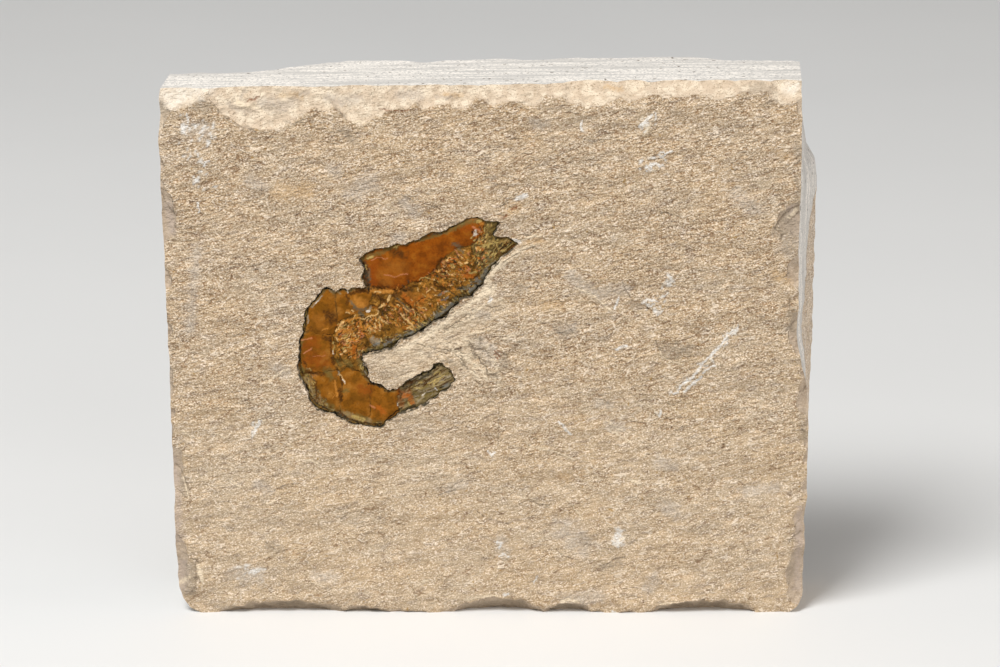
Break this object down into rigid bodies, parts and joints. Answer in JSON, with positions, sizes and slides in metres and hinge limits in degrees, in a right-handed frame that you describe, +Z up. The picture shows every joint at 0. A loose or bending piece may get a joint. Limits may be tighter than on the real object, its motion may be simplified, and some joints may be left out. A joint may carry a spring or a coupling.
{
  "type": "fossil shrimp",
  "caption": "Curled fossil shrimp lying in the face of a sawn limestone slab with chipped edges, standing on its flat lower edge.",
  "frame": {"origin": "on the ground under the middle of the slab's bounding box", "axes": "+X to the right along the slab's length, -Y out of the face that holds the shrimp, +Z up"},
  "size_m": [0.0922, 0.0162, 0.0784],
  "materials": {
    "limestone": "matt granular tan limestone, paler and smoother on the sawn sides and the chipped edges",
    "shell": "smooth mineralised shell, dark orange-brown with a low satin shine",
    "soft_shell": "wrinkled mineralised limbs, golden brown with pale creases",
    "tail_shell": "thin olive-brown mineralised blades with lengthwise streaks"
  },
  "bodies": {
    "root": {"limestone_slab": "limestone", "carapace": "shell", "head": "soft_shell", "walking_legs": "soft_shell", "swimmerets": "soft_shell", "abdomen_segment_1": "shell", "abdomen_segment_2": "shell", "abdomen_segment_3": "shell", "abdomen_segment_4": "shell", "abdomen_segment_5": "shell", "abdomen_segment_6": "shell", "uropod_inner": "tail_shell", "uropod_outer": "tail_shell", "telson": "tail_shell"}
  },
  "joints": []
}
